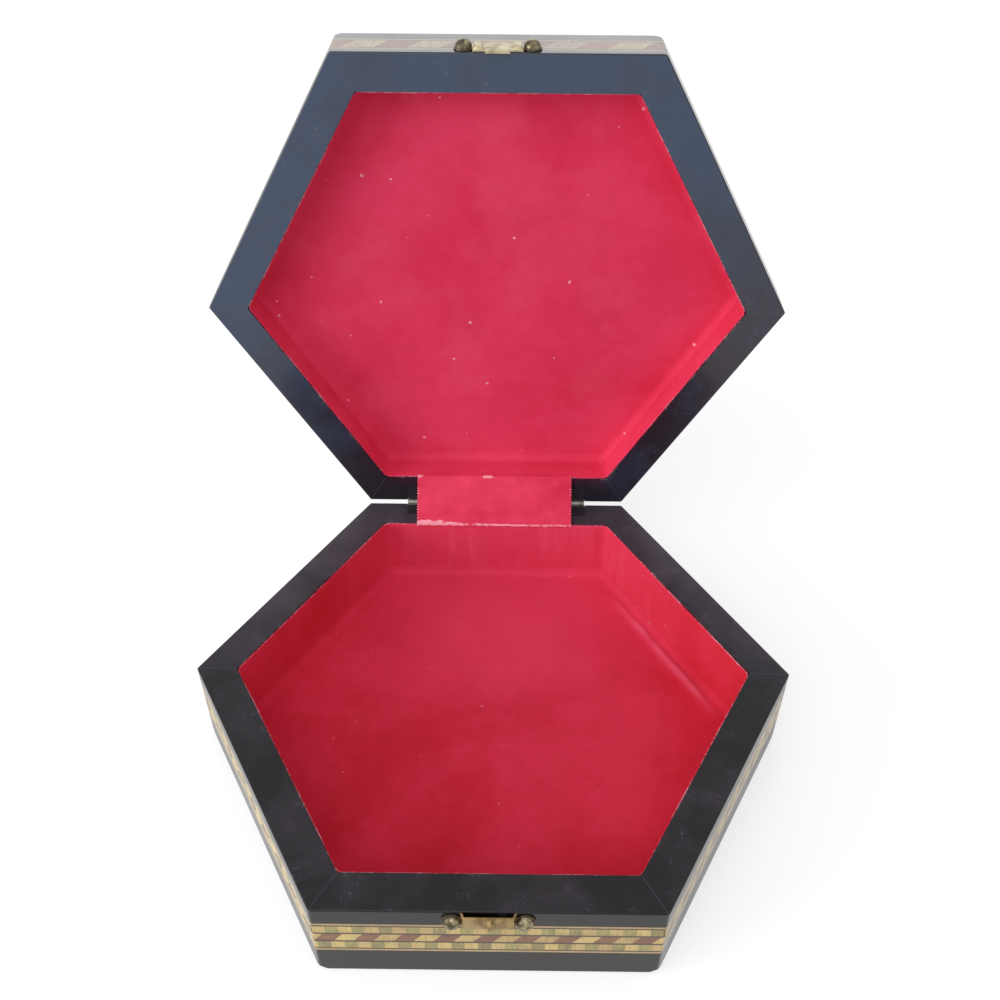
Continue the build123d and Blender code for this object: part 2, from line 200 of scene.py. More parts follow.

# %% [markdown]
# ## Black lacquer
# The walls are softwood under several coats of lacquer, rubbed to a gloss. The shader is a
# near-black base with a clear coat. The walls and the top have kept their warm black. The two
# rims have a patchy hazing, and over it they are painted paler towards one end, a painted
# reflection of the light their gloss catches, bluish on the lid. Age has also left scuffs, open
# mitre joints, and pale nicks where the lacquer has chipped along the edges of the rims. A dark
# line along the outer edges of the rims is painted shade.

# %% Distances inside a hexagon
def hexagon_distances(tree, place, middle, upright):
    """How far a point is from the middle, measured to the flats, and from the nearest mitre,
    and its coordinates from the middle. A mitre lies square to the direction of a flat."""
    axes = axes_of(tree, vector_maths(tree, "SUBTRACT", place, middle))
    reaches = []
    for turn in (THIRTY, 3 * THIRTY, 5 * THIRTY):
        part = times(tree, axes["X"], math.cos(turn))
        reach = maths(tree, "MULTIPLY_ADD", axes["Z" if upright else "Y"], math.sin(turn), part)
        reaches.append(maths(tree, "ABSOLUTE", reach))
    farthest = maths(tree, "MAXIMUM", maths(tree, "MAXIMUM", *reaches[:2]), reaches[2])
    nearest = maths(tree, "MINIMUM", maths(tree, "MINIMUM", *reaches[:2]), reaches[2])
    return farthest, nearest, axes

def band_mask(tree, value, middle, reach):
    """1 where a value is at the middle, falling to 0 at the reach on either side."""
    away = maths(tree, "ABSOLUTE", maths(tree, "SUBTRACT", value, middle))
    return level_between(tree, away, 0.0, reach, 1.0, 0.0)

# %% Wear and painted edge shade on the lacquer
SCUFF_SPACING = 1.1 * MM
NICK_SPACING = 1.6 * MM
EDGE_WEAR = 0.9 * MM  # how far the wear reaches from an edge
# The second colour is painted shade, a dark line along the rims' outer edges.
SCUFFED, OUTER_EDGE_SHADE, CHIPPED, JOINT = "#8C939C", "#0B0A0C", "#8A8780", "#55565F"
SCUFF_COVER, OUTER_EDGE_SHADE_COVER, CHIP_COVER, JOINT_COVER = 0.22, 0.8, 0.8, 0.35

def worn_lacquer_and_edge_shade(tree, body, place, bloom, on_rim, out, mitre):
    """A lacquer's colour with its scuffs, painted shade along its outer edge, chipped edges
    and mitre joints.
    """
    inner = band_mask(tree, out, inner_apothem, EDGE_WEAR)
    outer = band_mask(tree, out, outer_apothem, EDGE_WEAR)
    scuffs = level_between(tree, noise_level(tree, place, SCUFF_SPACING, 3.0, 0.7, 1.5), 0.57, 0.66)
    scuffs = times(tree, scuffs, level_between(tree, bloom, 0.56, 0.64))
    body = mixed(tree, times(tree, scuffs, SCUFF_COVER), body, SCUFFED)
    # Painted shade: a dark line along the outer edge of the rim.
    outer_edge_shade = times(tree, level_between(tree, outer, 0.45, 0.75), on_rim)
    body = mixed(tree, times(tree, outer_edge_shade, OUTER_EDGE_SHADE_COVER), body, OUTER_EDGE_SHADE)
    specks = maths(tree, "ADD", noise_level(tree, place, NICK_SPACING, 4.0, 0.7), bloom)
    edges = times(tree, maths(tree, "MAXIMUM", inner, times(tree, outer, 0.95)), on_rim)
    chips = level_between(tree, times(tree, edges, specks), 1.0, 1.14, 0.0, CHIP_COVER)
    body = mixed(tree, chips, body, CHIPPED)
    joint = level_between(tree, mitre, 0.08 * MM, 0.22 * MM, JOINT_COVER, 0.0)
    joint = times(tree, joint, level_between(tree, out, inner_apothem - MM, inner_apothem))
    return mixed(tree, joint, body, JOINT)

# %% The lacquer
HAZE_SPACING = 26 * MM
BLOOM_SPACING = 8 * MM  # cloudy patches in the haze
PEEL_SPACING = 2.5 * MM  # the soft waviness of brushed lacquer
RUB_SPACING = 0.6 * MM
# The share by place is a painted reflection; the shares by cloud and bloom are a random hazing.
PAINTED_REFLECTION_BY_PLACE, HAZE_BY_CLOUD, HAZE_BY_BLOOM = 0.4, 0.6, 0.25
WALL_FILM, WALL_HAZE = "#120E0C", "#231D19"

def lacquer(name, middle, upright, rim, film, haze, clear, hazed, gloss, shine, reflection_tilt=0.0):
    """Black lacquer on one half of the box, with its rim's dark and pale colours. The pale colour
    comes both from a random hazing and from a painted reflection: the rim is painted paler
    from the first given coordinate to the second, standing in for the light its gloss reflects.
    The last argument is how much further up the dark part reaches for each step to the right,
    which tilts this painted reflection."""
    material, tree, shader, place = new_material(name)
    out, mitre, axes = hexagon_distances(tree, place, middle, upright)
    cloud = noise_level(tree, place, HAZE_SPACING, 5.0)
    bloom = noise_level(tree, place, BLOOM_SPACING, 4.0, 0.55, 0.6)
    # Painted reflection: the rim grows paler along one axis, tilted towards the right.
    reflection_shift = level_between(tree, axes["X"], 0.0, outer_apothem, 0.0, reflection_tilt * outer_apothem)
    along = maths(tree, "SUBTRACT", axes_of(tree, place)["Z" if upright else "Y"], reflection_shift)
    haze_and_reflection = level_between(tree, along, clear, hazed, 0.0, PAINTED_REFLECTION_BY_PLACE)
    haze_and_reflection = maths(tree, "MULTIPLY_ADD", cloud, HAZE_BY_CLOUD, haze_and_reflection)
    haze_and_reflection = maths(tree, "MULTIPLY_ADD", bloom, HAZE_BY_BLOOM, haze_and_reflection)
    rim_skin = ramp(tree, haze_and_reflection, (0.38, film), (0.82, haze))
    wall_skin = ramp(tree, cloud, (0.35, WALL_FILM), (0.72, WALL_HAZE))
    on_rim = band_mask(tree, axes["Y" if upright else "Z"], rim, 1.5 * EDGE_WEAR)
    body = mixed(tree, on_rim, wall_skin, rim_skin)
    rubs = noise_level(tree, place, RUB_SPACING, 2.0)
    height = maths(tree, "MULTIPLY_ADD", rubs, 0.15, noise_level(tree, place, PEEL_SPACING, 1.0))
    normal = relief(tree, height, 0.25, 0.05 * MM)
    feed(tree, shader, {
        "Base Color": worn_lacquer_and_edge_shade(tree, body, place, bloom, on_rim, out, mitre),
        "Roughness": level_between(tree, cloud, 0.3, 0.7, 0.24, 0.34),
        "Normal": normal,
        "Coat Normal": normal,
        "Specular IOR Level": gloss,
        "Coat Weight": shine,
        "Coat Roughness": 0.12,
    })
    return material

# The rims' paler colours, bluish on the lid, are partly a painted reflection.
base_lacquer = lacquer("black_lacquer_base", (0, 0, 0), False, rim_height, "#110F14", "#4B434C",
                       clear=-10 * MM, hazed=75 * MM, gloss=0.26, shine=0.1)
lid_lacquer = lacquer("black_lacquer_lid", (0, 0, lid_middle), True, lid_rim, "#241D27", "#2E3F58",
                      clear=lid_low + 15 * MM, hazed=lid_low + 85 * MM, gloss=0.32, shine=0.5,
                      reflection_tilt=0.8)
print("two finishes,", base_lacquer.name, "and", lid_lacquer.name)

# %% Lacquer the walls and panels
def dress(node, material):
    """Give a CAD node's object one material."""
    slots = nodes[node].material_slots
    if not slots:
        nodes[node].data.materials.append(material)
    for holder in slots:
        holder.material = material

SIDES = ("front", "front_right", "back_right", "back", "back_left", "front_left")
for side in SIDES:
    dress(f"base_wall_{side}", base_lacquer)
    dress(f"lid_wall_{side}", lid_lacquer)
dress("base_bottom_panel", base_lacquer)
dress("lid_top_panel", lid_lacquer)
print("lacquered", 2 * len(SIDES) + 2, "boards and panels")

# %% [markdown]
# ## Inlaid woods
# The bands are veneer strips: thin light stringing, dark lines, and rows of small blocks and
# leaning pieces cut from yellow, olive and brown woods. No two pieces have quite the same tone
# or grain, because each is a separate slip of wood. A copy of each CAD node is merged, so that
# its pieces become islands, and every island is given its own number and its own grain direction.

# %% Split a node into its pieces
rng = random.Random(6)
MERGE = 0.0005 * MM  # vertices closer than this are one

def merged_copy(node):
    """A bmesh of a CAD node whose faces share their vertices."""
    mesh = bmesh.new()
    mesh.from_mesh(nodes[node].data)
    bmesh.ops.remove_doubles(mesh, verts=mesh.verts, dist=MERGE)
    return mesh

def islands(mesh):
    """Groups of faces that touch each other, in the order of the mesh's faces."""
    grouped = set()
    for start in mesh.faces:
        if start in grouped:
            continue
        grouped.add(start)
        group = [start]
        for face in group:  # the list grows while it is walked
            for edge in face.edges:
                beside = [other for other in edge.link_faces if other not in grouped]
                grouped.update(beside)
                group.extend(beside)
        yield group

def side_direction(middle, upright):
    """The direction along the side of the hexagon that a point lies on. The star in the
    middle of the lid lies on no side, and its grain runs along X."""
    away = (middle.z - lid_middle) if upright else middle.y
    if math.hypot(middle.x, away) < MM:
        return Vector((1, 0, 0))
    step = 2 * THIRTY
    turn = round((math.atan2(away, middle.x) - THIRTY) / step) * step + 4 * THIRTY
    ahead, aside = math.cos(turn), math.sin(turn)
    return Vector((ahead, 0, aside)) if upright else Vector((ahead, aside, 0))

# %% Inlay a node
def link_piece(name, mesh, material):
    """Turn a bmesh into an object of the scene."""
    data = bpy.data.meshes.new(name)
    mesh.to_mesh(data)
    mesh.free()
    piece = bpy.data.objects.new(name, data)
    bpy.context.scene.collection.objects.link(piece)
    if material:
        data.materials.append(material)
    return piece

def inlay(node, material):
    """Replace one wood's pieces with copies that have a tone and a grain place on each face."""
    upright = node.startswith("lid")
    mesh = merged_copy(node)
    tone = mesh.faces.layers.float.new("tone")
    grain = mesh.loops.layers.uv.new("grain")
    groups = list(islands(mesh))
    for group in groups:
        value = rng.random()
        middle = sum((face.calc_center_median() for face in group), Vector()) / len(group)
        along = side_direction(middle, upright)
        for face in group:
            face[tone] = value
            on_top = upright and abs(face.normal.y) > 0.9
            for loop in face.loops:
                here = loop.vert.co
                rise = here.y if upright else here.z
                if on_top:
                    rise = math.hypot(here.x, here.z - lid_middle)
                loop[grain].uv = (here.dot(along) / MM, rise / MM)
    piece = link_piece(node + "_inlaid", mesh, material)
    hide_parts(node)
    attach(piece, "lid" if upright else "base")
    return len(groups)

# %% The veneers
GRAIN_LENGTH = 7.0  # millimetres between changes along the grain, in the grain map's own units
GRAIN_WIDTH = 0.45
TONE_APART = 400.0  # how far apart in the noise the pieces with the least and most tone lie
HUE_SPREAD = 0.008
GRIME_SPACING = 5 * MM
GRIME = "#4A3B22"

def veneer(name, pale, deep, spread, across=False, shine=0.15):
    """A lacquered slip of wood. Pale and deep are its two grain colours, spread is how much
    its pieces differ in tone, and shine is its clear coat."""
    material, tree, shader, place = new_material(name)
    tone = attribute(tree, "tone")
    grain = add(tree, "ShaderNodeUVMap", uv_map="grain").outputs["UV"]
    lift = add(tree, "ShaderNodeCombineXYZ", {"Z": times(tree, tone, TONE_APART)}).outputs[0]
    wide, long = 1 / GRAIN_WIDTH, 1 / GRAIN_LENGTH
    stretch = (wide, long, 1.0) if across else (long, wide, 1.0)
    figure = vector_maths(tree, "MULTIPLY", vector_maths(tree, "ADD", grain, lift), stretch)
    lines = noise_level(tree, figure, 1.0, 4.0, 0.65)
    wood = add(tree, "ShaderNodeHueSaturation", {
        "Color": ramp(tree, lines, (0.32, deep), (0.62, pale)),
        "Value": level_between(tree, tone, 0.0, 1.0, 1.0 - spread, 1.0 + spread),
        "Hue": level_between(tree, tone, 0.0, 1.0, 0.5 - HUE_SPREAD, 0.5 + HUE_SPREAD),
    }).outputs["Color"]
    soiled = level_between(tree, noise_level(tree, place, GRIME_SPACING, 5.0), 0.5, 0.75, 0.0, 0.35)
    feed(tree, shader, {
        "Base Color": mixed(tree, soiled, wood, GRIME),
        "Normal": relief(tree, lines, 0.2, 0.03 * MM),
        "Roughness": 0.35,
        "Coat Weight": shine,
        "Coat Roughness": 0.14,
    })
    return material

# %% Choose the woods
stringing_wood = veneer("maple_stringing", "#D9BD7E", "#B8975A", 0.10)
yellow_wood = veneer("boxwood_slips", "#DBBF78", "#C4A056", 0.15, across=True)
olive_wood = veneer("olive_slips", "#AC9C58", "#8E8044", 0.16, across=True)
brown_wood = veneer("walnut_slips", "#965E30", "#6B3F1F", 0.15)
dark_wood = veneer("dyed_dark_lines", "#4A2A18", "#2E170C", 0.10)
# The lid's band gets duller, greyer copies of these woods: painted glare washing the band out on
# the lid's top, and painted shade dimming it.
lid_band_light_painted_glare = veneer("boxwood_slips_painted_glare", "#AA9474", "#917A58", 0.12, across=True, shine=0.4)
lid_band_brown_painted_glare = veneer("walnut_slips_painted_glare", "#8C6042", "#6E4830", 0.12, shine=0.4)
lid_band_dark_painted_glare = veneer("dark_lines_painted_glare", "#5C4636", "#443226", 0.10, shine=0.4)
WOODS = {
    "light_stringing": stringing_wood,
    "dark_lines": dark_wood,
    "light_blocks": yellow_wood,
    "light_rope": yellow_wood,
    "light_star": yellow_wood,
    "olive_blocks": olive_wood,
    "olive_field": olive_wood,
    "brown_rope": brown_wood,
    "brown_star": brown_wood,
}
# The lid's band uses the copies with painted glare and shade.
LID_BAND_WOODS = {
    "light_rope": lid_band_light_painted_glare,
    "light_stringing": lid_band_light_painted_glare,
    "brown_rope": lid_band_brown_painted_glare,
    "dark_lines": lid_band_dark_painted_glare,
}
for node in sorted(nodes):
    wood = node.split("_", 2)[-1]
    if wood in WOODS:
        choices = LID_BAND_WOODS if node.startswith("lid_band") else WOODS
        print(node, inlay(node, choices[wood]), "pieces")

# %% [markdown]
# ## Metal parts
# The hinge is plated steel, gone dull, and its leaves were painted over with the lacquer. The
# clasp is thin stamped brass and its tacks have darkened brass domes. Small metal parts catch
# the light on their rounded edges, so the clasp's plates are merged copies of the CAD with a
# small bevel, and each tack's dome is turned smooth.

# %% Metals
BRIDGE = 7.0 * MM  # from the clasp's middle to the end of its raised bridge
GRIT_SPACING = 0.5 * MM
EAR_DARK = "#4A443A"

def metal(name, clean, tarnish, spacing, rough, cover, ears=False):
    """A metal with patches of tarnish. Cover is how much of it has darkened, from 0 to 1, and
    ears makes it darker beyond the raised bridge."""
    material, tree, shader, place = new_material(name)
    cloud = noise_level(tree, place, spacing, 6.0, 0.6)
    skin = ramp(tree, cloud, (0.62 - 0.4 * cover, clean), (0.78 - 0.4 * cover, tarnish))
    if ears:
        aside = maths(tree, "ABSOLUTE", axes_of(tree, place)["X"])
        darker_ears = level_between(tree, aside, BRIDGE - 0.3 * MM, BRIDGE + 0.4 * MM, 0.0, 0.85)
        skin = mixed(tree, darker_ears, skin, EAR_DARK)
    grit = noise_level(tree, place, GRIT_SPACING, 3.0)
    feed(tree, shader, {
        "Base Color": skin,
        "Roughness": level_between(tree, cloud, 0.3, 0.8, rough, rough + 0.25),
        "Normal": relief(tree, grit, 0.35, 0.06 * MM),
        "Metallic": 1.0,
    })
    return material

def painted_over(material, axis, reach, paint):
    """Black lacquer over a metal, wherever it lies farther than the reach from the hinge axis."""
    tree = material.node_tree
    shader = tree.nodes["Principled BSDF"]
    place = add(tree, "ShaderNodeTexCoord").outputs["Object"]
    away = vector_maths(tree, "MULTIPLY", vector_maths(tree, "SUBTRACT", place, axis), (0, 1, 1))
    away = vector_maths(tree, "LENGTH", away)
    bare = level_between(tree, away, reach, reach + 0.3 * MM, 1.0, 0.0)
    skin = shader.inputs["Base Color"].links[0].from_socket
    coat = mixed(tree, bare, colour(paint), skin)
    feed(tree, shader, {"Base Color": coat, "Metallic": bare})

clasp_brass = metal("stamped_brass", "#A28B5E", "#7E6A47", 3 * MM, 0.38, 0.45, ears=True)
tack_brass = metal("oxidised_brass_domes", "#A09678", "#565040", 2 * MM, 0.28, 0.6)
# The lid's plate gets a paler, greyer copy of the clasp's brass, a painted reflection of the white
# paper sweep.
lid_brass = metal("pale_brass_painted_reflection", "#B5AA8C", "#988C70", 3 * MM, 0.3, 0.4, ears=True)
hinge_steel = metal("lacquered_steel_hinge", "#958E89", "#645D58", 5 * MM, 0.38, 0.5)
painted_over(hinge_steel, tuple(hinge), 1.35 * MM, "#2A252D")
HINGE_NODES = ("hinge_base_leaf", "hinge_lid_leaf", "hinge_pin", "hinge_base_nails",
               "hinge_lid_nails")
for node in HINGE_NODES:
    dress(node, hinge_steel)
print("painted", len(HINGE_NODES), "hinge parts")

# %% Bevelled clasp plates
PLATE_BEVEL = 0.12 * MM

def finish(name, mesh, body, material, smooth=30.0):
    """Turn a bmesh into a smooth-shaded piece that rides on a body. Edges that turn by more
    than this many degrees stay sharp."""
    piece = link_piece(name, mesh, material)
    for polygon in piece.data.polygons:
        polygon.use_smooth = True
    piece.data.set_sharp_from_angle(angle=math.radians(smooth))
    if body:
        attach(piece, body)
    return piece

def softened(node, body, material, width):
    """A merged copy of a CAD node with its sharp edges rounded over."""
    mesh = merged_copy(node)
    bmesh.ops.dissolve_limit(mesh, angle_limit=math.radians(1), verts=mesh.verts,
                             edges=mesh.edges)
    sharp = [edge for edge in mesh.edges if edge.calc_face_angle(0) > math.radians(25)]
    bmesh.ops.bevel(mesh, geom=sharp, offset=width, affect="EDGES", segments=2, profile=0.5,
                    material=-1, clamp_overlap=True)
    piece = finish(node + "_softened", mesh, body, material)
    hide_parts(node)
    return piece

for half, body, brass in (("keeper", "base", clasp_brass), ("lid", "lid", lid_brass)):
    plate = softened(f"clasp_{half}_plate", body, brass, PLATE_BEVEL)
    print(plate.name, len(plate.data.polygons), "faces")

# %% Domed tacks
KEEPER_OUT = Vector((0, -1, 0))
LID_OUT = Vector((0, 0, 1))
DOME_RISE = 2.1 * MM

def tack_domes(node, body, out):
    """Two smooth domed heads where the CAD has its faceted ones."""
    low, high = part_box(node)
    middle = (low + high) / 2
    radius = (high.z - low.z) / 2 if abs(out.y) else (high.y - low.y) / 2
    turn = Vector((0, 0, 1)).rotation_difference(out).to_matrix()
    mesh = bmesh.new()
    for x in (low.x + radius, high.x - radius):
        here = bmesh.ops.create_uvsphere(mesh, u_segments=32, v_segments=20,
                                         radius=radius)["verts"]
        faces = list(dict.fromkeys(face for vert in here for face in vert.link_faces))
        edges = list(dict.fromkeys(edge for vert in here for edge in vert.link_edges))
        cut = bmesh.ops.bisect_plane(mesh, geom=here + edges + faces, dist=0.0001 * MM,
                                     plane_co=(0, 0, 0), plane_no=(0, 0, -1), clear_outer=True)
        rim = [item for item in cut["geom_cut"] if isinstance(item, bmesh.types.BMEdge)]
        bmesh.ops.holes_fill(mesh, edges=rim)
        near = radius * 1.01  # the first dome has moved away by the time the second is cut
        dome = [vert for vert in mesh.verts if abs(vert.co.x) <= near and vert.co.length <= near]
        bmesh.ops.scale(mesh, verts=dome, vec=(1, 1, DOME_RISE / radius))
        bmesh.ops.rotate(mesh, verts=dome, cent=(0, 0, 0), matrix=turn)
        place = Vector((x, middle.y, middle.z))
        if abs(out.y):
            place.y = low.y + DOME_RISE
        else:
            place.z = high.z - DOME_RISE
        bmesh.ops.translate(mesh, verts=dome, vec=place)
    piece = finish(node + "_domes", mesh, body, tack_brass, smooth=60)
    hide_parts(node)
    return piece

print(tack_domes("clasp_keeper_tacks", "base", KEEPER_OUT).name)
print(tack_domes("clasp_lid_tacks", "lid", LID_OUT).name)

# %% [markdown]
# ## Red cloth
# Both halves are lined with a thin brushed cotton, glued to the panels and round the walls. It
# is matt, slightly pinker where the light grazes its nap, and mottled where glue and handling
# have pressed it. The base's lining is painted paler and pinker towards the back, a painted
# pool of light, and streaks of glue show there too; the crest of its ruck is painted paler as a
# highlight. The lid's lining is drawn brighter than the base's, which is painted light as well.
# Lint lies on it, and its cut edges fray. The strip over the hinge is a smoother, brighter cloth.

# %% Dye, painted light, lint and frayed edges
STAIN_SPACING = 28 * MM
PRESS_SPACING = 6 * MM
PATCH_SPACING = 16 * MM
GLUE_SPACING = 5 * MM
LINT_SPACING = 6 * MM
LINT_SIZE = 0.11  # of the lint's spacing, for the largest speck
LINT_SHIFT = 1.1 * MM  # how ragged a speck's outline is
PAINTED_LIGHT_MIDDLE = (8 * MM, 62 * MM, 20 * MM)  # the middle of the pool of light painted on the base's lining
PAINTED_LIGHT_NEAR, PAINTED_LIGHT_FAR = 15 * MM, 85 * MM
# The third colour is a painted highlight on the crest of the base's ruck.
PAINTED_LIGHT_PINK, GLUED, RUCK_HIGHLIGHT, LINTY, FRAYED = "#F04A70", "#F4708C", "#F06A8C", "#F3A9B4", "#FFA9B8"

def dye_stains_and_painted_light(tree, place, deep, bright, painted_light, glued):
    """The cloth's colour, mottled, painted paler at the back as a pool of light, streaked with glue
    there, and painted paler on the ruck's crest as a highlight.
    """
    stain = noise_level(tree, place, STAIN_SPACING, 4.0)
    press = noise_level(tree, place, PRESS_SPACING, 5.0, 0.6)
    mottle = maths(tree, "MULTIPLY_ADD", press, 0.4, stain)
    dye = ramp(tree, mottle, (0.52, deep), (0.86, bright))
    # Painted light: the lining is painted paler and pinker round a point at the back of the base.
    away = vector_maths(tree, "DISTANCE", place, PAINTED_LIGHT_MIDDLE)
    painted_light_share = level_between(tree, away, PAINTED_LIGHT_FAR, PAINTED_LIGHT_NEAR, 0.0, painted_light,
                           interpolation_type="SMOOTHSTEP")
    dye = mixed(tree, painted_light_share, dye, PAINTED_LIGHT_PINK)
    drawn = vector_maths(tree, "MULTIPLY", place, (1.0, 1.0, 0.12))
    glue = noise_level(tree, drawn, GLUE_SPACING, 4.0, 0.5, 0.5)
    glue = times(tree, level_between(tree, glue, 0.5, 0.72, 0.0, glued), painted_light_share)
    # The ruck's crest is painted paler, a painted highlight.
    return mixed(tree, attribute(tree, "ruck_highlight"), mixed(tree, glue, dye, GLUED), RUCK_HIGHLIGHT)

def lint_specks(tree, place):
    """1 on small ragged specks of different sizes."""
    ragged = noise_level(tree, place, 0.8 * MM, 2.0, output="Color")
    shifted = vector_maths(tree, "MULTIPLY_ADD", ragged, (LINT_SHIFT,) * 3, place)
    cells = add(tree, "ShaderNodeTexVoronoi", {"Vector": shifted, "Scale": 1 / LINT_SPACING,
                                              "Randomness": 1.0}).outputs
    size = times(tree, maths(tree, "POWER", cells["Color"], 1.7), LINT_SIZE)
    return maths(tree, "LESS_THAN", cells["Distance"], size)

def worn_dye(tree, place, dye, lint):
    """The cloth's colour with its lint, its dusty patches and its bare threads."""
    dye = mixed(tree, times(tree, lint_specks(tree, place), lint), dye, LINTY)
    patches = noise_level(tree, place, PATCH_SPACING, 2.0)
    dye = mixed(tree, level_between(tree, patches, 0.5, 0.75, 0.0, 0.05 * lint), dye, LINTY)
    tufts = noise_level(tree, place, 1.1 * MM, 3.0)
    torn = times(tree, maths(tree, "ADD", patches, tufts), attribute(tree, "frayed"))
    return mixed(tree, level_between(tree, torn, 0.62, 0.85), dye, FRAYED)

# %% Weave and folds
THREAD = 0.45 * MM  # drawn coarser than the real weave, so that it shows
FOLD_SPACING = 5 * MM

def woven(tree, place, thread, rib):
    """The normal of a woven cloth with soft creases. Rib draws lines along X."""
    weave = noise_level(tree, place, thread, 2.0)
    stretched = vector_maths(tree, "MULTIPLY", place, (0.06, 1.0, 1.0))
    ribs = noise_level(tree, stretched, 2 * thread, 2.0)
    fine = relief(tree, maths(tree, "MULTIPLY_ADD", ribs, rib, weave), 0.5, 0.12 * MM)
    pulled = vector_maths(tree, "MULTIPLY", place, (0.25, 1.0, 1.0))
    folds = noise_level(tree, pulled, FOLD_SPACING, 2.0, 0.5, 0.8)
    return relief(tree, folds, 0.3 + 0.4 * rib, 0.5 * MM, Normal=fine)

# %% The cloths
def cloth(name, deep, bright, nap, thread, rib, lint, painted_light=0.0, glued=0.0):
    """A dyed cloth. Nap is its sheen and lint is how pale its dust is. The next argument is how
    strongly a pool of light is painted paler at the back of the lining, and glued is how much
    its streaks of glue show."""
    material, tree, shader, place = new_material(name)
    dye = dye_stains_and_painted_light(tree, place, deep, bright, painted_light, glued)
    feed(tree, shader, {
        "Base Color": worn_dye(tree, place, dye, lint),
        "Normal": woven(tree, place, thread, rib),
        "Roughness": 0.85,
        "Sheen Weight": nap,
        "Sheen Roughness": 0.45,
        "Sheen Tint": colour("#FF8FA6"),
        "Specular IOR Level": 0.25,
    })
    return material

# The base's linings are painted paler at the back, a painted pool of light.
base_cloth = cloth("brushed_cotton_base", "#CA1E33", "#DA2E4A", 0.08, THREAD, 0.3, 0.25,
                   painted_light=0.5)
wall_cloth = cloth("brushed_cotton_base_walls", "#CA1C2F", "#DA2C46", 0.08, THREAD, 0.3, 0.3,
                   painted_light=0.6, glued=0.4)
# The lid's cloth is drawn brighter and pinker than the base's, which is painted light.
lid_cloth = cloth("brushed_cotton_lid", "#DC2E50", "#E63C60", 0.1, THREAD, 0.3, 0.8)
strip_cloth = cloth("smooth_cotton_strip", "#D62A4C", "#F24868", 0.1, 0.6 * THREAD, 1.5, 0.0)
print("four cloths, the weave drawn", round(THREAD / MM, 2), "mm wide")

# %% [markdown]
# ## Linings on the panels
# Each panel's lining is a hexagon of cloth, glued down but never quite flat. A hexagon is made
# from six triangles, divided until it is fine, and lifted by a slow noise that fades out at its
# edge, where it turns up a little into the wall. In the base a ruck has gathered along the back
# right wall. Solidify then gives the cloth its thickness.

# %% Shape a hexagon of cloth
CLOTH = 0.3 * MM
COVE = 2.6 * MM  # radius of the bend where the cloth turns up at a wall
CORNER_AT_X = Matrix.Rotation(THIRTY, 4, "Z")
EDGE_ROWS = 1.8  # above 1, the rows of faces lie closer towards the edge
FLAT_EDGE = 9 * MM  # the waves fade out this far from the edge
RUCK_IN = 3.2 * MM  # from the back right wall to the crest of the ruck
RUCK_WIDTH = 1.5 * MM
RUCK_REACH, RUCK_FADE, RUCK_SHIFT = 32 * MM, 14 * MM, 4 * MM  # along the wall

def puff(point, spacing, seed):
    """A smooth noise from -1 to 1."""
    return noise.noise((point / spacing) + Vector((seed, 2 * seed, 3 * seed)))

def edge_distance(x, y, apothem):
    """How far a point in a hexagon is from its nearest flat side."""
    turns = (THIRTY, 3 * THIRTY, 5 * THIRTY)
    return apothem - max(abs(x * math.cos(turn) + y * math.sin(turn)) for turn in turns)

def ruck_share(here, apothem):
    """How much of the ruck's height a point of the lining has."""
    from_wall = apothem - here.x * math.cos(THIRTY) - here.y * math.sin(THIRTY)
    beside = here.y * math.cos(THIRTY) - here.x * math.sin(THIRTY)
    wander = 0.7 * MM * puff(Vector((beside, 0, 0)), 17 * MM, 2.2)
    fold = math.exp(-((from_wall - RUCK_IN - wander) / RUCK_WIDTH) ** 2)
    fold *= max(0.0, min(1.0, (RUCK_REACH - abs(beside + RUCK_SHIFT)) / RUCK_FADE))
    return fold * (0.75 + 0.5 * puff(Vector((beside, 0, 0)), 7 * MM, 5.1))

def panel_sheet(apothem, lift, curl, seed, ruck=0.0):
    """A hexagon of cloth in the XY plane, with its right side up and its edge at the apothem.
    Ruck is the height of the fold that has gathered along its back right side."""
    mesh = bmesh.new()
    ruck_highlight = mesh.verts.layers.float.new("ruck_highlight")
    bmesh.ops.create_circle(mesh, segments=6, radius=apothem / math.cos(THIRTY), cap_ends=True,
                            cap_tris=True, matrix=CORNER_AT_X)
    for _ in range(6):
        bmesh.ops.subdivide_edges(mesh, edges=mesh.edges, cuts=1, use_grid_fill=True)
    for vert in mesh.verts:
        even = max(0.0, edge_distance(vert.co.x, vert.co.y, apothem))
        inward = apothem * (even / apothem) ** EDGE_ROWS
        if even < apothem * 0.999:
            vert.co *= (apothem - inward) / (apothem - even)
        fade = min(inward / FLAT_EDGE, 1.0)
        wave = puff(vert.co, 26 * MM, seed) + 0.45 * puff(vert.co, 9 * MM, seed + 5)
        short = max(0.0, COVE - inward)
        bend = COVE - math.sqrt(max(0.0, COVE ** 2 - short ** 2))
        fold = ruck_share(vert.co, apothem) if ruck else 0.0
        # A painted highlight: the ruck's crest is marked to be drawn paler.
        vert[ruck_highlight] = min(0.5, max(0.0, 0.6 * fold))
        vert.co.z = fade * lift * wave + curl * bend + ruck * fold
    return mesh

# %% Lay the hexagons
UPRIGHT = Matrix.Rotation(math.radians(90), 4, "X")
GLUE_BED = 0.1 * MM  # how deep the cloth is pressed into the lining's CAD slab
PANEL_GAP = 0.55 * MM  # between a panel's lining and the wall

def lay_cloth(name, mesh, body, material, node, offset, thickness=CLOTH):
    """A sheet of cloth in the stead of a CAD node, given its thickness on one side."""
    piece = finish(name, mesh, body, material, smooth=80)
    modifier = piece.modifiers.new("cloth_thickness", "SOLIDIFY")
    modifier.thickness = thickness
    modifier.offset = offset
    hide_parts(node)
    return piece

panel_apothem = inner_apothem - PANEL_GAP

